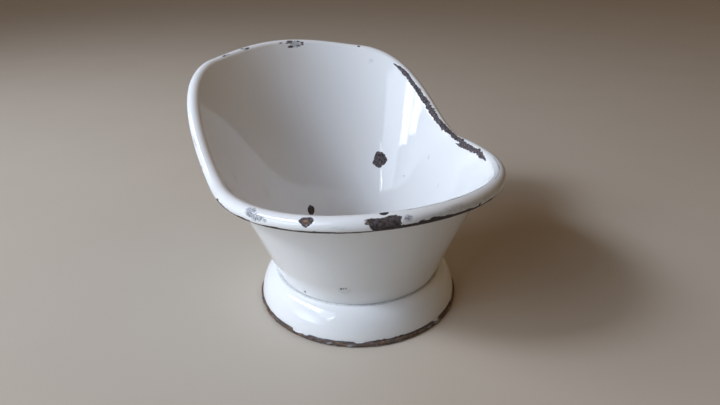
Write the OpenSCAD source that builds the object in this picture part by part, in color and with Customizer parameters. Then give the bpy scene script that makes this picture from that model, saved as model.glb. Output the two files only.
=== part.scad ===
// Sitz bath in enamelled sheet steel: a flared round bowl with a raised back,
// a hollow rolled rim and a spun foot.  The back points to +Y, the low front
// to -Y, and the foot stands on z = 0.

/* [Bowl] */
// Inside radius of the bowl at the neck, where it meets the foot
neck_r = 151; // [140:1:160]
// Height of the neck above the ground
neck_z = 61; // [50:1:70]
// Outward lean of the wall at the neck, as radius gained per height
lean = 0.368; // [0.32:0.002:0.42]
// How fast the lean grows with height: half its gain per millimetre
flare = 0.00024; // [0.0001:0.00002:0.0003]
// Thickness of the enamelled sheet
sheet_t = 1.6; // [1.2:0.1:2.4]

/* [Rim line] */
// Height of the rim at the middle of the back
back_z = 424; // [400:1:440]
// Height of the rim at the two shoulders of the back
shoulder_z = 404; // [380:1:410]
// Height of the rim at its lowest, on the two sides
side_z = 255; // [240:1:280]
// Height of the rim at the middle of the front
front_z = 275; // [256:1:300]
// Bearing from the back where the crown of the back ends
crown_end = 42; // [36:1:48]
// Bearing from the back where the rim starts to fall
fall_start = 31; // [26:1:34]
// Bearing from the back where the rim stops falling
fall_end = 87; // [80:1:92]
// Bearing from the back where the rim starts to rise to the front
rise_start = 94; // [90:1:110]

/* [Rolled rim] */
// Outside radius of the roll
roll_r = 12.5; // [10:0.5:14]
// Bearing round the roll where its sheet leaves the wall
roll_from = 2; // [2:1:6]
// Bearing round the roll where its sheet comes back to the wall
roll_to = 322; // [300:1:326]

/* [Bowl floor] */
// Height of the underside of the floor
floor_z = 46; // [40:1:50]
// Outside radius of the corner between the floor and its flange
corner_r = 20; // [14:1:26]
// Height of the floor's flange above its corner
flange_h = 13; // [8:1:20]
// How far the middle of the floor is dished down
floor_dish = 3; // [0:0.5:5]

/* [Foot] */
// Outside radius of the foot over its wired bead
foot_r = 190; // [180:1:200]
// Outside radius of the wired bead's section
bead_r = 4.5; // [4:0.25:6]
// How far the bead stands out beyond the skirt above it
bead_proud = 4; // [3:0.5:5]
// Depth worn off the underside of the bead, which leaves a flat land
bead_wear = 0.35; // [0.2:0.05:0.6]
// Roundness of the shoulder, where 2 is a quarter of an ellipse
shoulder_power = 1.8; // [1.6:0.1:2.4]
// Depth of the lapped collar at the neck
lap_h = 12; // [8:1:14]

/* [Hidden] */
$fn = 96;

seam_gap = 0.3;        // enamel-filled gap between two sheets that meet
lap_gap = 0.1;         // gap between two lapped sheets
rim_rings = 72;        // sections round the rim
roll_steps = 14;       // chords round the roll's section
wall_steps = 10;       // cones that make up the flared wall above the neck
shoulder_steps = 16;   // cones that make up the foot's shoulder
corner_steps = 6;      // chords in the floor's corner
flange_steps = 2;      // cones in the floor's flange
curl_slit = 0.6;       // slit left between the bead's edge and the skirt
curl_bearing = 150;    // bearing of that slit round the bead's section

lap_z = neck_z - lap_h;                       // lower edge of the wall and of the collar
wire_r = bead_r - sheet_t;                    // radius of the wire in the bead
bead_c = [foot_r - bead_r, bead_r - bead_wear];   // middle of the bead's section
skirt_r = foot_r - bead_proud;                // outside radius of the skirt above the bead

// Inside radius of the wall at height z, and its lean there
function wall_r(z) = neck_r + lean * (z - neck_z) + flare * pow(z - neck_z, 2);
function wall_lean(z) = lean + 2 * flare * (z - neck_z);
// Unit normal of the wall's meridian, pointing outwards, as [radial, z]
function wall_normal(z) = [1, -wall_lean(z)] / norm([1, -wall_lean(z)]);
// The wall's meridian at height z, moved outwards by d
function wall_point(z, d) = [wall_r(z), z] + d * wall_normal(z);

// A smooth step from 0 to 1 as u goes from 0 to 1
function ease(u) = (1 - cos(180 * min(max(u, 0), 1))) / 2;
// Height of the rim line at a bearing of 0 at the back to 180 at the front
function rim_z(a) = side_z
    + (front_z - side_z) * ease((a - rise_start) / (180 - rise_start))
    + (shoulder_z - side_z) * ease((fall_end - a) / (fall_end - fall_start))
    + (back_z - shoulder_z) * ease((crown_end - a) / crown_end);
function from_back(a) = a > 180 ? 360 - a : a;

// Points and directions along the rim line, at bearing a from +Y towards +X
function around(a, p) = [p[0] * sin(a), p[0] * cos(a), p[1]];
function rim_point(a) = around(a, wall_point(rim_z(from_back(a)), 0));
function rim_normal(a) = around(a, wall_normal(rim_z(from_back(a))));
function unit(v) = v / norm(v);
function rim_along(a) = unit(rim_point((a + 359) % 360 + 1.5) - rim_point((a + 359) % 360 + 0.5));
function rim_up(a) = unit(cross(rim_along(a), rim_normal(a)));
// A point of the roll at bearing a, at radius r and angle b from its contact line
function roll_point(a, r, b) = rim_point(a) + (roll_r - r * cos(b)) * rim_normal(a)
    + r * sin(b) * rim_up(a);

// The foot axis is moved so that the whole part is centred on the origin
function roll_reach(z) = wall_point(z, roll_r)[0] + roll_r;
axis_y = (roll_reach(front_z) - roll_reach(back_z)) / 2;

module steel_wall() {
    color("whitesmoke") children();
}

// A closed band swept round the rim from sections of n points each
module swept_ring(points, n) {
    rings = len(points) / n;
    polyhedron(
        points = points,
        faces = [
            for (i = [0:rings - 1], j = [0:n - 1])
                let (i2 = (i + 1) % rings, j2 = (j + 1) % n)
                [i * n + j, i * n + j2, i2 * n + j2, i2 * n + j]
        ],
        convexity = 8
    );
}

// The flared wall, cut off along the rim line
module bowl_wall() {
    heights = concat(
        [lap_z],
        [for (i = [0:wall_steps]) neck_z + (back_z + roll_r - neck_z) * i / wall_steps]
    );
    cut = [
        for (i = [0:rim_rings / 2])
            let (a = 360 * i / rim_rings, p = wall_point(rim_z(a), sheet_t))
            [p[0] * cos(a), p[1] - seam_gap]
    ];
    steel_wall() translate([0, axis_y, 0]) intersection() {
        rotate_extrude() polygon(concat(
            [for (z = heights) wall_point(z, 0)],
            [for (i = [len(heights) - 1:-1:0]) wall_point(heights[i], sheet_t)]
        ));
        rotate([90, 0, 90])
            linear_extrude(height = 4 * foot_r, center = true)
                polygon(concat(
                    [[2 * back_z, rim_z(0)], [2 * back_z, 0], [-2 * back_z, 0], [-2 * back_z, front_z]],
                    [for (i = [len(cut) - 1:-1:0]) cut[i]]
                ));
    }
}

// The hollow roll along the rim, open in a slit against the outside of the wall
module rolled_rim() {
    angles = [for (j = [0:roll_steps]) roll_from + (roll_to - roll_from) * j / roll_steps];
    steel_wall() translate([0, axis_y, 0]) swept_ring([
        for (i = [0:rim_rings - 1])
            let (a = 360 * i / rim_rings)
            for (k = [0:2 * roll_steps + 1])
                k <= roll_steps
                    ? roll_point(a, roll_r, angles[k])
                    : roll_point(a, roll_r - sheet_t, angles[2 * roll_steps + 1 - k])
    ], 2 * (roll_steps + 1));
}

// The dished floor, with a flange that fits inside the wall
module bowl_floor() {
    corner_z = floor_z + corner_r;
    lean_angle = atan(lean);
    top_z = corner_z - corner_r * sin(lean_angle);
    corner_x = wall_point(top_z, -lap_gap)[0] - corner_r * cos(lean_angle);
    function corner(r) = [
        for (i = [0:corner_steps])
            let (b = 270 + (90 - lean_angle) * i / corner_steps)
            [corner_x + r * cos(b), corner_z + r * sin(b)]
    ];
    function flange(d) = [
        for (i = [1:flange_steps]) wall_point(top_z + flange_h * i / flange_steps, -lap_gap - d)
    ];
    inside = concat(corner(corner_r - sheet_t), flange(sheet_t));
    color("white") translate([0, axis_y, 0]) rotate_extrude() polygon(concat(
        [[0, floor_z - floor_dish]],
        corner(corner_r),
        flange(0),
        [for (i = [len(inside) - 1:-1:0]) inside[i]],
        [[0, floor_z - floor_dish + sheet_t]]
    ));
}

// A ring turned round the foot axis from an outline placed at [radius, height]
module turned(at) {
    rotate_extrude() translate(at) children();
}

// The spun foot: a collar lapped round the wall, a round shoulder and a wired bead
module foot_ring() {
    function shoulder(inset) =
        let (inner = wall_r(neck_z) + (sheet_t + lap_gap) * norm([1, wall_lean(neck_z)]))
        [
            for (i = [0:shoulder_steps])
                let (b = 90 * i / shoulder_steps)
                [
                    inner + (skirt_r - inset - inner) * pow(sin(b), 2 / shoulder_power),
                    bead_c[1] + (neck_z - inset - bead_c[1]) * pow(cos(b), 2 / shoulder_power)
                ]
        ];
    skirt = shoulder(0);
    lining = shoulder(sheet_t);
    color("ivory") translate([0, axis_y, 0]) difference() {
        union() {
            rotate_extrude() polygon(concat(
                [wall_point(lap_z, 2 * sheet_t + lap_gap), wall_point(lap_z, sheet_t + lap_gap)],
                skirt,
                [for (i = [shoulder_steps:-1:1]) lining[i]],
                [wall_point(neck_z - sheet_t, 2 * sheet_t + lap_gap)]
            ));
            turned(bead_c) circle(bead_r);
        }
        turned(bead_c) circle(wire_r + lap_gap);
        turned(bead_c) rotate(curl_bearing) translate([0, -curl_slit / 2])
            square([bead_r + curl_slit, curl_slit]);
        translate([0, 0, -bead_r]) cylinder(h = bead_r, r = 2 * foot_r);
    }
}

// The steel wire that the foot's bead is curled round
module foot_wire() {
    color("saddlebrown") translate([0, axis_y, 0]) turned(bead_c) circle(wire_r);
}

bowl_wall();
bowl_floor();
rolled_rim();
foot_ring();
foot_wire();
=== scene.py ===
"""An old enamelled sitz bath, standing on a plain pale floor.

Every visible surface is swept or turned round the foot's axis from the same rim line and wall curve as
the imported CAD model.  Lengths are in metres and bearings in degrees, from the back (+Y) towards +X.
"""

import math

import bmesh
import bpy
import numpy as np
from mathutils import Matrix, Vector


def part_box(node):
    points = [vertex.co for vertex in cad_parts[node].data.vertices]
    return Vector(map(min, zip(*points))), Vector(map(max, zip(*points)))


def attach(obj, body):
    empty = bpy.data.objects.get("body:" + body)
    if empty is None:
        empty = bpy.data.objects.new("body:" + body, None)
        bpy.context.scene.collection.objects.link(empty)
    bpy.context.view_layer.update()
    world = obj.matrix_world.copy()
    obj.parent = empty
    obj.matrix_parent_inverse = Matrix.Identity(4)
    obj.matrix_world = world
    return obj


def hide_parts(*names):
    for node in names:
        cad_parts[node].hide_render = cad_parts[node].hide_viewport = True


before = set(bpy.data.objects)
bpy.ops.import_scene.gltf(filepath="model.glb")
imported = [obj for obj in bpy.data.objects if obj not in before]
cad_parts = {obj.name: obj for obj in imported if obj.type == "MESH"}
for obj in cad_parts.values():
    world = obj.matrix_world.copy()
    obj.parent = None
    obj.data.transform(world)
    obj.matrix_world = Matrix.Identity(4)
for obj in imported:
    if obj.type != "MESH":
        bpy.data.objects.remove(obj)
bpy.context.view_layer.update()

MM = 0.001

# ---------------------------------------------------------------- places, read from the frame
foot_low, foot_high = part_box("foot_ring")
wall_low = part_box("bowl_wall")[0]
floor_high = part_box("bowl_floor")[1]
AXIS_X = (foot_low.x + foot_high.x) / 2
AXIS_Y = (foot_low.y + foot_high.y) / 2
FOOT_R = (foot_high.x - foot_low.x) / 2
NECK_Z = foot_high.z
LAP_Z = wall_low.z

# ---------------------------------------------------------------- the bath's own sizes
NECK_R = 151 * MM
# outward lean of the wall at the neck, and half of what it gains per metre of height
LEAN = 0.368
FLARE = 0.24
SHEET = 1.6 * MM
BACK_Z, SHOULDER_Z, SIDE_Z, FRONT_Z = 424 * MM, 404 * MM, 255 * MM, 275 * MM
# bearings from the back between which the rim line changes height
CROWN_END, FALL_START, FALL_END, RISE_START = 42, 31, 87, 94
ROLL_R = 12.5 * MM
# degrees round the roll from where it leaves the wall to where its sheet ends
CURL_END = 324
BEAD_R = 4.5 * MM
BEAD_PROUD = 4 * MM
BEAD_WEAR = 0.35 * MM
SHOULDER_POWER = 1.8
LAP_GAP = 0.1 * MM
WIRE_R = BEAD_R - SHEET
# radius and height of the middle of the bead's section
BEAD_MIDDLE = (FOOT_R - BEAD_R, BEAD_R - BEAD_WEAR)
FLOOR_DISH = 3 * MM
FLOOR_CORNER = 20 * MM
FLANGE_H = 13 * MM
ENAMEL_DEPTH = 0.7 * MM

# ---------------------------------------------------------------- light
WINDOW_BEARING = -100
WINDOW_DISTANCE = 2.6
WINDOW_CENTRE_Z = 0.2
DAYLIGHT = (0.87, 0.97, 1.13)
# how far a slanted pane hangs in front of the others
SLANTED_IN_FRONT = 0.02
# name, start and end bearing, sill and head elevation, brightness, and degrees it slants
WINDOW_PANES = (
    ("curtain_gap", -120.5, -119.7, 12, 33, 40, -19),
    ("curtain_pane", -121.5, -104.3, 18.5, 48, 7),
    ("middle_pane", -103.6, -95.2, 28, 46, 26),
    ("narrow_pane", -94, -87, 30, 46, 26),
    ("bright_pane", -85.6, -71, 36, 46, 142),
    ("far_pane", -70, -56, 34, 47, 36),
)
# bearing, elevation, sharpness, colour
ROOM_LIGHT = (
    (-95, 4, 30, (4.2, 5.0, 5.8)),
    (-64, 14, 14, (0.9, 0.7, 0.5)),
    (105, 50, 6, (0.46, 0.24, 0.08)),
    (105, 15, 9, (0.12, 0.17, 0.14)),
    (15, 18, 8, (0.25, 0.25, 0.25)),
)
ROOM_SHADE = (0.012, 0.010, 0.008)
# what the camera sees past the floor, in place of the room
BACKDROP = (0.40, 0.37, 0.335, 1)


# ---------------------------------------------------------------- noise that is the same each run
def lattice(cells, seed):
    """A repeatable value from 0 to 1 for each whole-numbered cell."""
    x, y, z = (cells[..., i].astype(np.int64) for i in range(3))
    h = (x * 73856093) ^ (y * 19349663) ^ (z * 83492791) ^ (seed * 2654435761)
    h = (h ^ (h >> 13)) * 1274126177
    return ((h ^ (h >> 16)) & 0xFFFF) / 65535.0


def noise(points, size, seed):
    """Smooth noise from 0 to 1 whose blobs are about size across."""
    p = points / size + 1000
    cell = np.floor(p)
    f = p - cell
    f = f * f * (3 - 2 * f)
    total = 0
    for dx in (0, 1):
        for dy in (0, 1):
            for dz in (0, 1):
                step = np.array([dx, dy, dz])
                weight = np.prod(np.where(step, f, 1 - f), axis=-1)
                total = total + weight * lattice(cell + step, seed)
    return total


def fractal(points, size, seed, octaves=3):
    """Noise from -1 to 1 with finer noise on top."""
    total, reach = 0, 0
    for i in range(octaves):
        share = 0.5**i
        total = total + share * (2 * noise(points, size / 2**i, seed + i) - 1)
        reach += share
    return total / reach


def smooth(low, high, x):
    """0 at low and 1 at high, with no corner at either end; high may be below low."""
    t = np.clip((x - low) / (high - low), 0, 1)
    return t * t * (3 - 2 * t)


# ---------------------------------------------------------------- the bath's form
def wall_r(z):
    """Inside radius of the wall at a height."""
    return NECK_R + LEAN * (z - NECK_Z) + FLARE * (z - NECK_Z) ** 2


def wall_lean(z):
    """Radius gained per height there."""
    return LEAN + 2 * FLARE * (z - NECK_Z)


def ease(u):
    """A cosine step from 0 to 1."""
    return (1 - np.cos(np.pi * np.clip(u, 0, 1))) / 2


def rim_z(bearing):
    """Height of the rim line: crown, shoulders, low sides and front."""
    a = np.mod(bearing, 360.0)
    a = np.where(a > 180, 360 - a, a)
    return (
        SIDE_Z
        + (FRONT_Z - SIDE_Z) * ease((a - RISE_START) / (180 - RISE_START))
        + (SHOULDER_Z - SIDE_Z) * ease((FALL_END - a) / (FALL_END - FALL_START))
        + (BACK_Z - SHOULDER_Z) * ease((CROWN_END - a) / CROWN_END)
    )


def around(bearing, radial, z):
    """A vector given by its radial and upward parts, at a bearing."""
    t = np.radians(bearing)
    radial, z = radial + 0 * t, z + 0 * t
    return np.stack([radial * np.sin(t), radial * np.cos(t), z], axis=-1)


def unit(v):
    return v / np.linalg.norm(v, axis=-1, keepdims=True)


def wall_normal(bearing, z):
    """The way out of the wall's outside face."""
    lean = wall_lean(z)
    return around(bearing, 1 / np.hypot(1, lean), -lean / np.hypot(1, lean))


def rim_frame(bearing):
    """The point where the roll leaves the wall, and the outward and upward directions there."""
    point = around(bearing, wall_r(rim_z(bearing)), rim_z(bearing))
    outward = wall_normal(bearing, rim_z(bearing))
    nudge = 0.25
    before, after = bearing - nudge, bearing + nudge
    along = unit(
        around(after, wall_r(rim_z(after)), rim_z(after))
        - around(before, wall_r(rim_z(before)), rim_z(before))
    )
    return point, outward, unit(np.cross(along, outward))


# ---------------------------------------------------------------- marks in the enamel
# a patch's reach in equal turns round its middle
ROUND = (1, 1)
STAR = (1.02, 0.88, 0.90, 0.80, 1.04, 0.84, 0.82, 1.04, 0.94, 1.02, 0.82, 0.92)
PEAR = (1, 0.9, 0.75, 0.8, 0.75, 0.9, 1, 1, 1, 1, 1, 1)
SHIELD = (1.05, 0.80, 1.15, 0.90, 1.05, 1.0, 0.88, 0.9)
WEDGE = (1.0, 1.05, 1.15, 1.25, 1.3, 1.1, 1.0, 1.2, 1.1, 0.62, 0.75, 1.25)


def bearing_gap(bearing, centre):
    """Degrees from centre, from -180 to 180."""
    return np.mod(bearing - centre + 180, 360) - 180


class Marks:
    """What has happened to the enamel at each point of one surface, and the shade painted on it, as values
    from 0 to 1.

    A place on the surface is a bearing and a distance across it.  That distance is a height, or on the
    roll a length round it.
    """

    NAMES = ("chip", "rust", "scuff", "grime", "ground")

    def __init__(self, points, bearing, across):
        self.points, self.bearing, self.across = points, bearing, across
        self.radius = np.hypot(points[..., 0], points[..., 1])
        for name in self.NAMES:
            setattr(self, name, np.zeros(points.shape[:-1]))

    def add(self, name, value):
        setattr(self, name, np.maximum(getattr(self, name), value))

    def inside(self, at, across, size, outline=ROUND, ragged=0.18, grain=4 * MM, seed=1):
        """How far inside a ragged patch each point lies: 1 at its middle, 0 on its edge.

        size is half its length along the rim and across it.  outline is its reach in equal turns, from the
        way the bearing grows and then the way across grows.
        """
        along = np.radians(bearing_gap(self.bearing, at)) * self.radius / size[0]
        over = (self.across - across) / size[1]
        turn = np.mod(np.arctan2(over, along) / (2 * np.pi), 1) * len(outline)
        reach = np.interp(turn, np.arange(len(outline) + 1), [*outline, outline[0]])
        return 1 - np.hypot(along, over) / reach + ragged * fractal(self.points, grain, seed)

    def chip_at(self, at, across, size, outline=ROUND, rust=0.0, dirt_and_shade=0.0, edge=1.1 * MM, **look):
        """Enamel broken away down to the dark ground coat, and to rust in the middle."""
        inside = self.inside(at, across, size, outline, **look)
        self.add("chip", np.clip(inside * min(size) / edge, 0, 1))
        self.add("grime", dirt_and_shade * smooth(0, 0.12, inside))
        if rust:
            self.add("rust", rust * smooth(0.42, 0.70, inside))

    def scuff_at(self, at, across, size, amount=1.0, seed=1):
        """Enamel rubbed grey but not broken."""
        inside = self.inside(at, across, size, ragged=0.5, seed=seed)
        self.add("scuff", amount * smooth(0, 0.35, inside))

    def band(self, bearings, middles, halves, ragged, grain, seed, name="chip", edge=1.1 * MM, amount=1.0):
        """A ragged band: its middle and half width, in mm, are given at a few bearings."""
        ahead = np.mod(self.bearing - bearings[0], 360)
        knots = np.array(bearings) - bearings[0]
        middle = np.interp(ahead, knots, middles) * MM
        half = np.interp(ahead, knots, halves, right=0) * MM
        width = half * (1 + ragged * fractal(self.points, grain, seed))
        wander = 0.3 * half * fractal(self.points, 3 * grain, seed + 7)
        depth = width - np.abs(self.across - middle - wander)
        self.add(name, amount * np.where(ahead <= knots[-1], np.clip(depth / edge, 0, 1), 0))


def rim_strip(marks):
    """The long strip of lost enamel along the right side, where the roll leaves the wall."""
    marks.band(
        (45, 47, 49, 56, 63, 67, 71, 76, 82, 88, 91, 97, 106, 112, 118),
        (-2, -1, 0, -1, 0.5, 1, 3, 7, 12, 7, 4, 0.5, 1.5, 0, -2),
        (0.5, 3, 5, 5.5, 7, 6.5, 5.5, 6, 5, 5.5, 6.5, 5, 6, 4.2, 0.6),
        0.75, 4.5 * MM, 31,
    )
    marks.band((88, 91, 97, 103), (-3, -4, -3, -2), (0.5, 2.5, 3, 0.5), 0.5, 4 * MM, 32)


# ---------------------------------------------------------------- meshes
# an edge that turns more than this many degrees is shaded as sharp
CREASE = 50


def waviness(points):
    """The slow unevenness of old enamel over hand-worked sheet."""
    return 0.30 * MM * fractal(points, 95 * MM, 11, 2) + 0.07 * MM * fractal(points, 26 * MM, 12, 1)


def finish_surface(points, normals, marks, wave=1.0):
    """Moves the surface in where enamel is lost, and gives it its unevenness."""
    shift = wave * waviness(points) - ENAMEL_DEPTH * smooth(0.05, 0.8, marks.chip)
    rough = 0.18 * MM * fractal(points, 3 * MM, 21, 2) * marks.chip
    return points + (shift + rough)[..., None] * normals


def loop_mesh(name, points, marks):
    """A closed mesh swept all round the axis, from points[bearing][section]."""
    rows, cols = points.shape[:2]
    flat = points.reshape(-1, 3) + np.array([AXIS_X, AXIS_Y, 0])
    i, j = np.meshgrid(np.arange(rows), np.arange(cols), indexing="ij")
    i2, j2 = (i + 1) % rows, (j + 1) % cols
    faces = np.stack([i * cols + j, i2 * cols + j, i2 * cols + j2, i * cols + j2], axis=-1)
    faces = faces.reshape(-1, 4)
    mesh = bpy.data.meshes.new(name)
    mesh.vertices.add(len(flat))
    mesh.vertices.foreach_set("co", flat.astype(np.float32).ravel())
    mesh.loops.add(faces.size)
    mesh.loops.foreach_set("vertex_index", faces.astype(np.int32).ravel())
    mesh.polygons.add(len(faces))
    mesh.polygons.foreach_set("loop_start", np.arange(0, faces.size, 4, dtype=np.int32))
    mesh.polygons.foreach_set("use_smooth", np.ones(len(faces), bool))
    mesh.update(calc_edges=True)
    mesh.validate()
    for key in Marks.NAMES:
        attribute = mesh.attributes.new(key, "FLOAT", "POINT")
        attribute.data.foreach_set("value", marks[key].astype(np.float32).ravel())
    mesh.set_sharp_from_angle(angle=math.radians(CREASE))
    piece = bpy.data.objects.new(name, mesh)
    bpy.context.scene.collection.objects.link(piece)
    return piece


def spaced(start, end, step, windows=(), fine=None):
    """Values from start to end at about step, and finer in each window.

    A window is (low, high), which uses fine, or (low, high, its own step).
    """
    edges = sorted({start, end, *(min(max(e, start), end) for w in windows for e in w[:2])})
    values = []
    for low, high in zip(edges[:-1], edges[1:]):
        middle = (low + high) / 2
        gaps = [w[2] if len(w) > 2 else fine for w in windows if w[0] <= middle <= w[1]]
        count = max(1, round((high - low) / min([step, *gaps])))
        values += [low + (high - low) * k / count for k in range(count)]
    return np.array(values + [end])


def joined_marks(parts):
    """One dictionary of mark values for several surfaces side by side in a section."""
    return {key: np.concatenate([getattr(p, key) for p in parts], axis=1) for key in Marks.NAMES}


# ---------------------------------------------------------------- the pieces
def wear_inside(inside, z):
    """The chips, scuffs and lost strip on the wall's inside face."""
    rim_strip(inside)
    inside.across = z
    star_size, pear_size = (16 * MM, 17 * MM), (8.5 * MM, 11 * MM)
    inside.chip_at(43.2, 190 * MM, star_size, STAR, ragged=0.14, grain=5 * MM, seed=17, dirt_and_shade=0.15)
    inside.chip_at(352.2, 101 * MM, pear_size, PEAR, ragged=0.1, seed=4, rust=0.7, dirt_and_shade=0.75)
    # bearing, height, half sizes in mm, seed
    back_edge = ((2.4, 417.6, 7, 1.9, 13), (5.7, 418.4, 3.6, 1.4, 14), (7.5, 420.4, 2.4, 1.5, 15))
    for at, height, along, over, seed in back_edge:
        inside.chip_at(at, height * MM, (along * MM, over * MM), rust=0.4, edge=0.8 * MM, seed=seed)
    inside.scuff_at(4.4, 420 * MM, (15 * MM, 5 * MM), 0.7, 16)
    # bearing, height, size in mm, seed
    faint = (
        (10.5, 343, 6, 5), (35.5, 386, 5, 6), (74.2, 212, 4, 7), (88, 166, 4, 8),
        (60.8, 164, 4, 9), (300, 230, 6, 10), (205, 190, 7, 11), (150, 150, 5, 12),
    )
    for at, height, size, seed in faint:
        inside.scuff_at(at, height * MM, (size * MM, 0.5 * size * MM), 0.25, seed)


def wear_outside(outside, z):
    """The pits and grime on the wall's outside face, and the bare ground inside the lap."""
    # bearing, height, size in mm, seed
    pits = (
        (218.2, 103, 2.0, 41), (216.8, 104, 1.6, 42), (215.4, 105, 1.7, 43),
        (244.5, 70.4, 2.4, 44), (206.8, 140, 1.0, 45), (160, 84, 1.8, 46),
        (128, 92, 2.2, 47), (31, 96, 2.4, 48), (320, 88, 2, 49),
    )
    for at, height, size, seed in pits:
        half_sizes = (size * MM, 0.7 * size * MM)
        outside.chip_at(at, height * MM, half_sizes, grain=2 * MM, edge=0.6 * MM, seed=seed)
    outside.scuff_at(216.5, 97 * MM, (13 * MM, 9 * MM), 0.13, 50)
    outside.add("grime", smooth(2.6 * MM, 0, z - NECK_Z) * (0.1 + 0.5 * noise(outside.points, 22 * MM, 51)))
    outside.ground = smooth(1 * MM, -1 * MM, z - NECK_Z)


def make_bowl_wall():
    """The flared wall: its inside face up to the rim line and its outside face back down."""
    worn = [(0, 9), (37, 119), (348, 357), (212, 221), (242, 247)]
    bearings = spaced(0, 360, 1.5, worn, 0.26)[:-1]
    rows = [(0.105, 0.18, 0.0045), (0.34, 0.49, 0.0038), (0.955, 0.97, 0.0042), (0.97, 1, 0.0034)]
    a, share = np.meshgrid(bearings, spaced(0, 1, 0.03, rows), indexing="ij")
    z = LAP_Z + share * (rim_z(a) - LAP_Z)
    inner = around(a, wall_r(z), z)
    inside = Marks(inner, a, (z - rim_z(a)) * np.hypot(1, wall_lean(z)))
    wear_inside(inside, z)
    inner = finish_surface(inner, -wall_normal(a, z), inside)

    rows = [(0.18, 0.27, 0.008), (0.06, 0.12, 0.012)]
    a, share = np.meshgrid(bearings, spaced(0, 1, 0.032, rows)[::-1], indexing="ij")
    z = LAP_Z + share * (rim_z(a) - LAP_Z)
    normal = wall_normal(a, z)
    outer = around(a, wall_r(z), z) + SHEET * normal
    outside = Marks(outer, a, z)
    wear_outside(outside, z)
    outer = finish_surface(outer, normal, outside)
    section = np.concatenate([inner, outer], axis=1)
    return loop_mesh("bowl_wall_enamel", section, joined_marks([inside, outside]))


def round_roll(degrees):
    """The length round the roll's outside from where it leaves the wall."""
    return ROLL_R * math.radians(degrees)


def wear_rim(skin):
    """Every chip, scuff and scratch on the roll's outside, and its grime, with the painted shadow along its
    underside and the painted dark reflection on its lower front right.
    """
    rim_strip(skin)
    # bearing, turn round the roll, half sizes in mm, outline, rust, dirt and shade
    chips = (
        (224.3, 110, 10.5, 8, SHIELD, 1.0, 0.2),
        # the big front chip's darkening is partly dirt and partly painted shade
        (200.6, 136, 22, 11, WEDGE, 0.12, 0.5),
        (205.6, 128, 4.5, 2.2, ROUND, 1.0, 0),
        (200.4, 62, 6.5, 6, (1, 0.7, 1, 1), 0, 0.9),
        (167.0, 168, 2.2, 4, SHIELD, 0, 0.9),
        (266.8, 164, 4.2, 5, SHIELD, 0.3, 0.6),
        (262.4, 179, 10, 3.2, ROUND, 0.6, 0.6),
        (250.5, 186, 18, 3.2, ROUND, 0.8, 0.7),
        (287.0, 140, 2, 1.6, ROUND, 0, 0.5),
        (2.6, 27, 8, 2.2, ROUND, 0.3, 0.3),
        (2.2, 4, 8, 2.4, ROUND, 0.3, 0.3),
        (359.2, 15, 2.4, 5, ROUND, 0.2, 0.3),
        (6.0, 22, 3.6, 2.0, ROUND, 0.3, 0.3),
        (7.4, 8, 3.8, 2.2, ROUND, 0.2, 0.3),
        (30.0, 33, 3.4, 2.8, ROUND, 0, 0.3),
        (344.8, 30, 5, 2, ROUND, 0, 0.3),
        (343.0, 52, 3.5, 2, ROUND, 0, 0.3),
        (334.0, 40, 5, 1.8, ROUND, 0, 0.3),
        (138.0, 214, 9, 4, WEDGE, 0.6, 0.5),
        (84.0, 196, 12, 5, WEDGE, 0.7, 0.5),
        (18.0, 188, 14, 5, WEDGE, 0.6, 0.5),
        (312.0, 196, 11, 4, WEDGE, 0.6, 0.5),
    )
    for seed, (at, turn, along, over, outline, rust, dirt_and_shade) in enumerate(chips, 61):
        skin.chip_at(at, round_roll(turn), (along * MM, over * MM), outline, rust, dirt_and_shade, seed=seed)
    # bearing, turn round the roll, half sizes in mm, amount
    scuffs = (
        (245.6, 114, 13, 8, 1.0),
        (242.2, 138, 16, 5.5, 0.9),
        (4.5, 14, 16, 5, 0.8),
        (344.5, 34, 9, 5, 0.7),
        (335.0, 42, 9, 4, 0.6),
        (193.8, 124, 7, 5, 0.7),
        (205.8, 112, 5, 3, 0.8),
        (214.0, 150, 14, 3, 0.12),
        (296.0, 120, 12, 3, 0.35),
        (178.0, 120, 20, 4, 0.15),
    )
    for seed, (at, turn, along, over, amount) in enumerate(scuffs, 91):
        skin.scuff_at(at, round_roll(turn), (along * MM, over * MM), amount, seed)
    under = round_roll(206) / MM
    lean_in = (-4, -3, -2.5, -1.2, -0.4, 0, 0)
    # the first two bands run along the roll's underside at the front: chipped, grimy enamel whose darkness
    # is partly painted shadow where the roll meets the wall; the third is a worn edge further left
    # bearings, middles and half widths in mm, grain in mm, seed
    worn_and_shaded_under = (
        (
            (140, 155, 168, 182, 197, 206, 216),
            [under + m for m in lean_in],
            (2.5, 4.0, 4.6, 9, 9.2, 5, 3.5), 9, 110,
        ),
        ((214, 222, 230, 236, 246), [under - 3] * 5, (1.8, 3.8, 1.6, 3.4, 1.2), 9, 111),
        ((246, 251, 257, 262, 268), (41, 40, 39.4, 38.4, 36), (2, 1.5, 1.2, 1.8, 2.2), 14, 112),
    )
    for bearings, middles, halves, grain, seed in worn_and_shaded_under:
        skin.band(bearings, middles, halves, 0.5, grain * MM, seed)
        skin.band(bearings, middles, halves, 0.5, grain * MM, seed, "grime", amount=0.9)
    # a soft dark band round the roll's lower side at the front right: painted dark reflection, with a
    # little grime
    painted_reflection_turns = (round_roll(150) / MM,) * 4
    skin.band((128, 150, 185, 196), painted_reflection_turns, (3, 9, 9, 2), 0.5, 20 * MM, 113, "grime", 7 * MM, 0.34)
    # first and last bearing, turn round the roll
    scratches = ((160, 178, 50), (170, 196, 58), (182, 199, 44), (156, 168, 42), (120, 150, 55))
    for seed, (start, end, turn) in enumerate(scratches, 120):
        middle = round_roll(turn) / MM
        skin.band((start, end), (middle, middle + 1), (0.6, 0.6), 0.9, 9 * MM, seed, "scuff", 0.3 * MM, 1.0)


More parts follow.
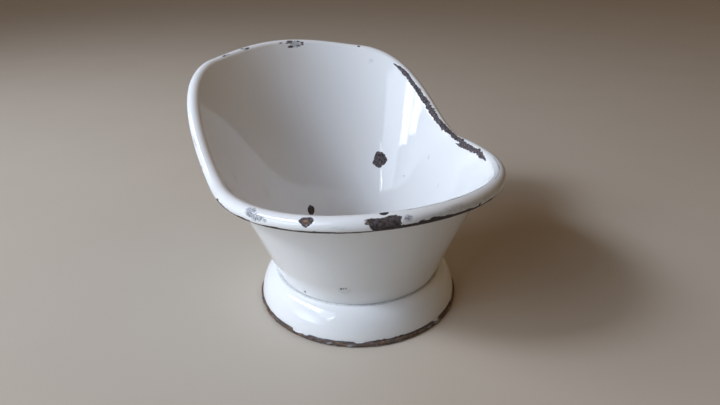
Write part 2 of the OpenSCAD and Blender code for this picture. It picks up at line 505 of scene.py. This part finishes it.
def roll_face(bearings, turns, radius):
    """One face of the roll: bearings, turns round it, points, and the way out of the roll there."""
    a, turn = np.meshgrid(bearings, turns, indexing="ij")
    contact, outward, up = rim_frame(a)
    c, s = np.cos(np.radians(turn))[..., None], np.sin(np.radians(turn))[..., None]
    normal = s * up - c * outward
    return a, turn, contact + ROLL_R * outward + radius * normal, normal


def make_rolled_rim():
    """The hollow roll: its outside face all the way round, and its hidden inside face back."""
    worn = [(45, 119), (192, 208), (221, 228), (0, 9), (28, 32), (332, 347), (239, 268), (165, 169)]
    bearings = spaced(0, 360, 1.2, worn, 0.26)[:-1]
    a, turn, outer, normal = roll_face(bearings, spaced(0, CURL_END, 5), ROLL_R)
    skin = Marks(outer, a, round_roll(1) * turn)
    wear_rim(skin)
    to_edge = round_roll(CURL_END) - skin.across
    lost = 2.5 * MM + 4 * MM * fractal(outer, 30 * MM, 90, 3)
    skin.add("chip", np.clip((lost - to_edge) / (1.5 * MM), 0, 1))
    underneath = smooth(round_roll(185), round_roll(215), skin.across)
    skin.add("rust", 0.7 * smooth(0.5, 0.75, noise(outer, 24 * MM, 91)) * underneath)
    outer = finish_surface(outer, normal, skin)

    a, turn, inner, _ = roll_face(bearings, spaced(0, CURL_END, 27)[::-1], ROLL_R - SHEET)
    lining = Marks(inner, a, turn)
    lining.ground[:] = 1
    section = np.concatenate([outer, inner], axis=1)
    return loop_mesh("rolled_rim_enamel", section, joined_marks([skin, lining]))


def turned(name, profile, marker, step=1.25, wave=1.0):
    """A piece turned from a closed profile of (radius, z, outward radial, outward z) rows.

    marker fills in the marks.  wave is how much of the enamel's unevenness each row takes, and -1 makes
    a lapped face follow the one that it lies against.
    """
    bearings = spaced(0, 360, step)[:-1]
    a = bearings[:, None] + np.zeros((1, len(profile)))
    points = around(a, profile[:, 0], profile[:, 1])
    normals = around(a, profile[:, 2], profile[:, 3])
    marks = Marks(points, a, profile[:, 1] + 0 * a)
    marker(marks)
    points = finish_surface(points, normals, marks, wave)
    return loop_mesh(name, points, joined_marks([marks]))


def join_on_axis(mesh):
    """Makes one point of all those that meet on the axis, so that the middle of a dish is closed."""
    touching = 0.001 * MM
    work = bmesh.new()
    work.from_mesh(mesh)
    middle = [v for v in work.verts if math.hypot(v.co.x - AXIS_X, v.co.y - AXIS_Y) < touching]
    bmesh.ops.remove_doubles(work, verts=middle, dist=touching)
    bmesh.ops.delete(work, geom=[e for e in work.edges if not e.link_faces], context="EDGES")
    work.to_mesh(mesh)
    work.free()


def with_normals(outline):
    """Adds to a closed clockwise outline the unit normals that point out of it."""
    ahead = np.roll(outline, -1, axis=0) - np.roll(outline, 1, axis=0)
    normal = unit(np.stack([-ahead[:, 1], ahead[:, 0]], axis=-1))
    return np.hstack([outline, normal])


def arc(centre, radius, start, end, count):
    """Points (radius, z) on an arc, from one angle to another."""
    t = np.radians(np.linspace(start, end, count))
    return np.stack([centre[0] + radius * np.cos(t), centre[1] + radius * np.sin(t)], axis=-1)


def shoulder(inset, count):
    """The foot's shoulder from the neck down to the bead, moved inwards by inset."""
    inner = wall_r(NECK_Z) + (SHEET + LAP_GAP) * math.hypot(1, LEAN)
    b = np.radians(np.linspace(0, 90, count))
    skirt = FOOT_R - BEAD_PROUD - inset
    base = BEAD_R - BEAD_WEAR
    return np.stack([
        inner + (skirt - inner) * np.sin(b) ** (2 / SHOULDER_POWER),
        base + (NECK_Z - inset - base) * np.clip(np.cos(b), 0, 1) ** (2 / SHOULDER_POWER),
    ], axis=-1)


def make_foot_ring():
    """The spun foot: a collar lapped round the wall, a round shoulder and a bead curled round the wire."""
    bead = BEAD_MIDDLE
    skirt = shoulder(0, 46)
    skirt = skirt[skirt[:, 1] > bead[1] + BEAD_R]
    lining = shoulder(SHEET, 20)
    lining = lining[(lining[:, 1] > bead[1] + BEAD_R) & (lining[:, 0] > skirt[0, 0] + SHEET)]
    collar_r = wall_r(LAP_Z) + (SHEET + LAP_GAP) * math.hypot(1, LEAN)
    curl = arc(bead, BEAD_R, 82, -212, 42)
    curl[:, 1] = np.maximum(curl[:, 1], 0)
    bore = arc(bead, WIRE_R + LAP_GAP, -212, 70, 14)
    outline = np.concatenate([
        [[collar_r, LAP_Z]],
        skirt,
        curl,
        bore,
        lining[::-1],
        [[skirt[0, 0] + SHEET, NECK_Z - 1.3 * SHEET], [collar_r + SHEET, LAP_Z]],
    ])
    profile = with_normals(outline)
    n_skirt = 1 + len(skirt)
    n_curl = n_skirt + len(curl)
    order = np.arange(len(outline))
    # the collar's inside face follows the wall, and the bore keeps its size round the wire
    wave = np.ones(len(outline))
    wave[[0, 1]] = -1
    wave[n_curl:n_curl + len(bore)] = 0

    def marker(marks):
        worn = (order >= n_skirt) & (order < n_curl)
        above = marks.points[..., 2] - (bead[1] + 0.72 * BEAD_R)
        reach = 2.0 * MM + 3.4 * MM * fractal(marks.points, 20 * MM, 101, 4)
        outside = order < n_curl
        lost = np.clip((reach - above) / (1.6 * MM), 0, 1)
        kept = smooth(0.05, 0.22, fractal(marks.points, 8 * MM, 102, 3))
        kept = kept * smooth(0.25, 0.5, noise(marks.points, 45 * MM, 106))
        marks.chip = np.where(outside, lost * (1 - 0.85 * kept * (above < 0)), 0)
        marks.chip = np.where(worn & (marks.points[..., 2] < 1.2 * MM), 1, marks.chip)
        marks.rust = marks.chip * (0.35 + 0.45 * smooth(0.3, 0.7, noise(marks.points, 13 * MM, 103)))
        marks.ground[:] = order >= n_curl
        splashed = smooth(7 * MM, 0, above) * 0.35 * noise(marks.points, 30 * MM, 104)
        in_chips = 0.75 * marks.chip * noise(marks.points, 9 * MM, 105)
        at_neck = np.where(order < 6, 0.35 * smooth(2 * MM, 0, NECK_Z - marks.across), 0)
        marks.grime = np.maximum(np.maximum(np.where(outside, splashed, 0), in_chips), at_neck)
        marks.chip[..., n_curl:] = 0.0

    return turned("foot_ring_enamel", profile, marker, step=0.48, wave=wave)


def make_bowl_floor():
    """The dished floor, with an upturned flange that laps the inside of the wall."""
    angle = math.atan(LEAN)
    top = floor_high.z - FLANGE_H
    corner_z = top + FLOOR_CORNER * math.sin(angle)
    edge_r = wall_r(top) - LAP_GAP * math.cos(angle)
    corner_r = edge_r - FLOOR_CORNER * math.cos(angle)
    low = corner_z - FLOOR_CORNER

    def flange(inset, count):
        z = np.linspace(top, floor_high.z, count)[1:]
        return np.stack([wall_r(z) - (LAP_GAP + inset) * np.hypot(1, LEAN), z], axis=-1)

    def dish(lift, count):
        r = np.linspace(0, corner_r, count)[:-1]
        return np.stack([r, low + lift - FLOOR_DISH * (1 - (r / corner_r) ** 2)], axis=-1)

    under = np.concatenate([
        dish(0, 24),
        arc((corner_r, corner_z), FLOOR_CORNER, 270, 360 - math.degrees(angle), 10),
        flange(0, 6),
    ])
    above = np.concatenate([
        dish(SHEET, 40),
        arc((corner_r, corner_z), FLOOR_CORNER - SHEET, 270, 360 - math.degrees(angle), 12),
        flange(SHEET, 6),
    ])
    outline = np.concatenate([above, under[::-1]])
    profile = with_normals(outline)
    profile[0, 2:] = (0, 1)
    profile[-1, 2:] = (0, -1)
    order = np.arange(len(outline))

    def marker(marks):
        up = order < len(above)
        marks.ground[:] = ~up
        central = smooth(150 * MM, 40 * MM, marks.radius)
        stain = smooth(0.45, 0.8, noise(marks.points, 60 * MM, 111)) * central
        marks.grime = np.where(up, 0.35 * stain, 0)
        # bearing, radius and size in mm, seed
        for at, radius, size, seed in ((70, 95, 5, 112), (215, 60, 4, 113), (310, 118, 3, 114)):
            spot = Marks(marks.points, marks.bearing, marks.radius)
            spot.chip_at(at, radius * MM, (size * MM, size * MM), seed=seed, rust=0.8)
            marks.chip = np.where(up, np.maximum(marks.chip, spot.chip), marks.chip)
            marks.rust = np.where(up, np.maximum(marks.rust, spot.rust), marks.rust)

    # the flange's outside face follows the wall
    wave = np.where(order < len(above), 1.0, -1.0)
    piece = turned("bowl_floor_enamel", profile, marker, step=2.5, wave=wave)
    join_on_axis(piece.data)
    return piece


def make_foot_wire():
    """The steel wire inside the foot's bead.  It is bare, so it has no chips and no unevenness."""
    outline = arc(BEAD_MIDDLE, WIRE_R, 360, 0, 25)[:-1]

    def marker(marks):
        marks.rust = 0.5 + 0.5 * noise(marks.points, 12 * MM, 121)

    profile = with_normals(outline)
    return turned("foot_wire_steel", profile, marker, step=1.25, wave=0)


# ---------------------------------------------------------------- materials
class Graph:
    """A short way to write a material's nodes."""

    def __init__(self, name):
        self.material = bpy.data.materials.new(name)
        self.material.use_nodes = True
        self.tree = self.material.node_tree
        self.tree.nodes.clear()
        self.place = self.add("ShaderNodeTexCoord").outputs["Object"]

    def add(self, kind, inputs=None, **settings):
        made = self.tree.nodes.new(kind)
        for key, value in settings.items():
            setattr(made, key, value)
        for key, value in (inputs or {}).items():
            if isinstance(value, bpy.types.NodeSocket):
                self.tree.links.new(value, made.inputs[key])
            else:
                made.inputs[key].default_value = value
        return made

    def mask(self, name):
        return self.add("ShaderNodeAttribute", attribute_name=name).outputs["Fac"]

    def math(self, operation, a, b=0.0, clamp=False):
        return self.add("ShaderNodeMath", {0: a, 1: b}, operation=operation, use_clamp=clamp).outputs[0]

    def ramp(self, value, low, high, to_low=0.0, to_high=1.0):
        return self.add(
            "ShaderNodeMapRange",
            {"Value": value, "From Min": low, "From Max": high, "To Min": to_low, "To Max": to_high},
            interpolation_type="SMOOTHSTEP",
        ).outputs["Result"]

    def noise(self, scale, detail=3.0, roughness=0.5):
        inputs = {"Vector": self.place, "Scale": scale, "Detail": detail, "Roughness": roughness}
        return self.add("ShaderNodeTexNoise", inputs).outputs["Fac"]

    def cells(self, scale):
        inputs = {"Vector": self.place, "Scale": scale}
        return self.add("ShaderNodeTexVoronoi", inputs).outputs["Distance"]

    def mix(self, factor, a, b):
        made = self.add("ShaderNodeMix", data_type="RGBA")
        for socket, value in ((made.inputs[0], factor), (made.inputs[6], a), (made.inputs[7], b)):
            if isinstance(value, bpy.types.NodeSocket):
                self.tree.links.new(value, socket)
            else:
                socket.default_value = value
        return made.outputs[2]

    def bump(self, height, strength, distance, normal=None):
        inputs = {"Height": height, "Strength": strength, "Distance": distance}
        if normal is not None:
            inputs["Normal"] = normal
        return self.add("ShaderNodeBump", inputs).outputs["Normal"]

    def output(self, shader):
        self.add("ShaderNodeOutputMaterial", {"Surface": shader})
        return self.material


def rgb(red, green, blue):
    return (red, green, blue, 1.0)


def make_enamel(name, yellowing=0.35):
    """Glossy white vitreous enamel, with its chips, scuffs, grime, painted shade and dark ground coat."""
    g = Graph(name)
    chip, rust, scuff = g.mask("chip"), g.mask("rust"), g.mask("scuff")
    grime, ground = g.mask("grime"), g.mask("ground")

    aged = g.ramp(g.noise(7, 4), 0.45, 0.75, 0, yellowing)
    colour = g.mix(aged, rgb(0.80, 0.81, 0.82), rgb(0.77, 0.75, 0.70))
    specks = g.ramp(g.cells(240), 0.10, 0.05, 0, 0.25)
    few = g.ramp(g.noise(34, 2), 0.60, 0.68)
    colour = g.mix(g.math("MULTIPLY", specks, few), colour, rgb(0.20, 0.17, 0.15))

    colour = g.mix(g.math("MULTIPLY", scuff, 0.7), colour, rgb(0.33, 0.35, 0.40))
    scratch = g.ramp(g.noise(330, 4, 0.8), 0.49, 0.56)
    scratched = g.math("MULTIPLY", scuff, scratch, clamp=True)
    colour = g.mix(scratched, colour, rgb(0.09, 0.085, 0.10))

    mottle = g.ramp(g.noise(230, 6, 0.75), 0.36, 0.66)
    dark = g.mix(mottle, rgb(0.016, 0.011, 0.012), rgb(0.155, 0.125, 0.135))
    rust_grain = g.ramp(g.noise(300, 4, 0.7), 0.35, 0.65)
    rusty = g.mix(rust_grain, rgb(0.060, 0.028, 0.016), rgb(0.33, 0.20, 0.115))
    body = g.mix(rust, dark, rusty)
    edge = g.ramp(chip, 0.02, 0.20)
    core = g.ramp(chip, 0.22, 0.48)
    body = g.mix(g.ramp(g.noise(430, 2), 0.66, 0.72, 0, 0.75), body, rgb(0.45, 0.42, 0.40))
    colour = g.mix(edge, colour, rgb(0.24, 0.225, 0.225))
    colour = g.mix(core, colour, body)

    # grime darkens the enamel; on the roll's underside, on its lower front right and on the big front chip
    # this darkening is partly painted shade
    dirt_and_shade = g.ramp(g.noise(160, 5, 0.7), 0.35, 0.70, 0.45, 1)
    colour = g.mix(g.math("MULTIPLY", grime, dirt_and_shade, clamp=True), colour, rgb(0.018, 0.012, 0.008))

    flecks = g.ramp(g.cells(300), 0.26, 0.16, 0, 0.8)
    coat = g.mix(flecks, rgb(0.035, 0.04, 0.05), rgb(0.25, 0.26, 0.28))
    coat = g.mix(g.ramp(g.noise(26, 5, 0.65), 0.56, 0.68), coat, rusty)
    colour = g.mix(ground, colour, coat)

    gloss = g.ramp(g.noise(40, 4), 0.3, 0.8, 0.03, 0.09)
    rough = g.math("MAXIMUM", gloss, g.math("MULTIPLY", core, 0.85))
    rough = g.math("MAXIMUM", rough, g.math("MULTIPLY", scratched, 0.5))
    rough = g.math("MAXIMUM", rough, g.math("MULTIPLY", ground, 0.38))
    rough = g.math("MAXIMUM", rough, g.math("MULTIPLY", grime, 0.45))

    peel = g.bump(g.noise(70, 2), 0.22, 0.0006)
    pitted = g.math("MULTIPLY", g.math("MAXIMUM", core, ground), g.noise(650, 4, 0.7))
    normal = g.bump(pitted, 0.7, 0.0007, peel)

    shader = g.add("ShaderNodeBsdfPrincipled", {
        "Base Color": colour, "Roughness": rough, "Normal": normal, "IOR": 1.53,
    })
    return g.output(shader.outputs["BSDF"])


def make_wire_steel():
    """Drawn steel wire, gone brown where damp reached it."""
    g = Graph("wire_steel")
    rusted = g.ramp(g.noise(190, 5, 0.7), 0.38, 0.60)
    stained = g.mix(g.noise(600, 3), rgb(0.085, 0.036, 0.018), rgb(0.25, 0.13, 0.07))
    shader = g.add("ShaderNodeBsdfPrincipled", {
        "Base Color": g.mix(rusted, rgb(0.33, 0.32, 0.31), stained),
        "Metallic": g.ramp(rusted, 0.2, 0.8, 0.9, 0.0),
        "Roughness": g.ramp(rusted, 0, 1, 0.38, 0.85),
        "Normal": g.bump(g.noise(700, 3), 0.5, 0.0004),
    })
    return g.output(shader.outputs["BSDF"])


def make_floor_material():
    """The plain pale floor."""
    g = Graph("pale_floor")
    colour = g.mix(g.noise(3, 3), rgb(0.53, 0.47, 0.395), rgb(0.57, 0.51, 0.43))
    shader = g.add("ShaderNodeBsdfPrincipled", {"Base Color": colour, "Roughness": 0.65})
    return g.output(shader.outputs["BSDF"])


# ---------------------------------------------------------------- the scene
def add_piece(piece, node, material):
    """Gives a piece its material and lets it stand for its CAD node."""
    piece.data.materials.append(material)
    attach(piece, "root")
    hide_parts(node)


def add_floor():
    half = 15.0
    mesh = bpy.data.meshes.new("floor")
    corners = [(-half, -half, 0), (half, -half, 0), (half, half, 0), (-half, half, 0)]
    mesh.from_pydata(corners, [], [(0, 1, 2, 3)])
    floor = bpy.data.objects.new("floor", mesh)
    bpy.context.scene.collection.objects.link(floor)
    mesh.materials.append(make_floor_material())


def direction(bearing, elevation):
    """The unit vector towards a bearing and an elevation."""
    b, e = math.radians(bearing), math.radians(elevation)
    return Vector((math.sin(b) * math.cos(e), math.cos(b) * math.cos(e), math.sin(e)))


def add_window_pane(name, start, end, sill, head, brightness, slant=0):
    """One soft pane of a tall window left of the bath, between two bearings and two elevations.

    All panes lie in one upright plane that faces WINDOW_BEARING, and sill and head are elevations there.
    A slanted pane is turned in that plane and hangs a little in front of it.
    """
    left, right = (WINDOW_DISTANCE * math.tan(math.radians(b - WINDOW_BEARING)) for b in (start, end))
    low, high = (WINDOW_DISTANCE * math.tan(math.radians(e)) for e in (sill, head))
    outward = direction(WINDOW_BEARING, 0)
    sideways = direction(WINDOW_BEARING + 90, 0)
    light = bpy.data.lights.new(name, "AREA")
    light.shape = "RECTANGLE"
    light.size, light.size_y = right - left, high - low
    light.energy = brightness * light.size * light.size_y
    light.color = DAYLIGHT
    lamp = bpy.data.objects.new(name, light)
    middle = Vector((AXIS_X, AXIS_Y, WINDOW_CENTRE_Z))
    in_front = SLANTED_IN_FRONT if slant else 0
    lamp.location = middle + (WINDOW_DISTANCE - in_front) * outward + sideways * (left + right) / 2
    lamp.location.z += (low + high) / 2
    lean = Matrix.Rotation(math.radians(slant), 4, "Z")
    lamp.rotation_euler = (outward.to_track_quat("Z", "Y").to_matrix().to_4x4() @ lean).to_euler()
    bpy.context.scene.collection.objects.link(lamp)


def add_world():
    """A dim room: soft light from low on the left, a warm glow from the right, a little from behind.

    It lights and is mirrored in the bath.  The camera sees the plain backdrop in its place.
    """
    world = bpy.data.worlds.new("room")
    bpy.context.scene.world = world
    world.use_nodes = True
    nodes, links = world.node_tree.nodes, world.node_tree.links
    place = nodes.new("ShaderNodeTexCoord")
    total = None
    for bearing, elevation, sharpness, colour in ROOM_LIGHT:
        facing = nodes.new("ShaderNodeVectorMath")
        facing.operation = "DOT_PRODUCT"
        facing.inputs[1].default_value = direction(bearing, elevation)
        links.new(place.outputs["Generated"], facing.inputs[0])
        ahead = nodes.new("ShaderNodeMath")
        ahead.operation = "MAXIMUM"
        ahead.inputs[1].default_value = 0
        links.new(facing.outputs["Value"], ahead.inputs[0])
        glow = nodes.new("ShaderNodeMath")
        glow.operation = "POWER"
        glow.inputs[1].default_value = sharpness
        links.new(ahead.outputs["Value"], glow.inputs[0])
        tinted = nodes.new("ShaderNodeVectorMath")
        tinted.operation = "MULTIPLY_ADD"
        tinted.inputs[1].default_value = colour
        tinted.inputs[2].default_value = ROOM_SHADE
        links.new(glow.outputs["Value"], tinted.inputs[0])
        if total is not None:
            links.new(total, tinted.inputs[2])
        total = tinted.outputs["Vector"]
    seen = nodes.new("ShaderNodeLightPath")
    shown = nodes.new("ShaderNodeMix")
    shown.data_type = "RGBA"
    shown.inputs[7].default_value = BACKDROP
    links.new(seen.outputs["Is Camera Ray"], shown.inputs[0])
    links.new(total, shown.inputs[6])
    links.new(shown.outputs[2], nodes["Background"].inputs["Color"])


def add_camera():
    """The photograph's viewing angle: front left of the bath, looking down into it."""
    azimuth, distance, height = 28.82, 0.867, 0.587
    pan, pitch, roll = (math.radians(v) for v in (0.35, 25.2, -0.47))
    turn = Matrix.Rotation(-math.radians(azimuth), 3, "Z")
    ahead = Vector((math.sin(pan), math.cos(pan), 0))
    right = Vector((math.cos(pan), -math.sin(pan), 0))
    upward = Vector((0, 0, 1))
    look = ahead * math.cos(pitch) - upward * math.sin(pitch)
    above = upward * math.cos(pitch) + ahead * math.sin(pitch)
    side = right * math.cos(roll) + above * math.sin(roll)
    top = above * math.cos(roll) - right * math.sin(roll)
    axes = Matrix([turn @ side, turn @ top, turn @ -look]).transposed()
    camera = bpy.data.cameras.new("camera")
    camera.lens = 25.9
    camera.sensor_width = 36
    holder = bpy.data.objects.new("camera", camera)
    place = Vector((AXIS_X, AXIS_Y, 0)) + turn @ Vector((0, -distance, height))
    holder.matrix_world = Matrix.Translation(place) @ axes.to_4x4()
    bpy.context.scene.collection.objects.link(holder)
    bpy.context.scene.camera = holder


add_camera()
add_floor()
add_world()
for pane in WINDOW_PANES:
    add_window_pane(*pane)

bpy.context.scene.view_settings.view_transform = "Standard"

add_piece(make_bowl_wall(), "bowl_wall", make_enamel("bowl_enamel"))
add_piece(make_rolled_rim(), "rolled_rim", make_enamel("rim_enamel", yellowing=0.45))
add_piece(make_bowl_floor(), "bowl_floor", make_enamel("floor_enamel", yellowing=0.6))
add_piece(make_foot_ring(), "foot_ring", make_enamel("foot_enamel", yellowing=0.4))
add_piece(make_foot_wire(), "foot_wire", make_wire_steel())
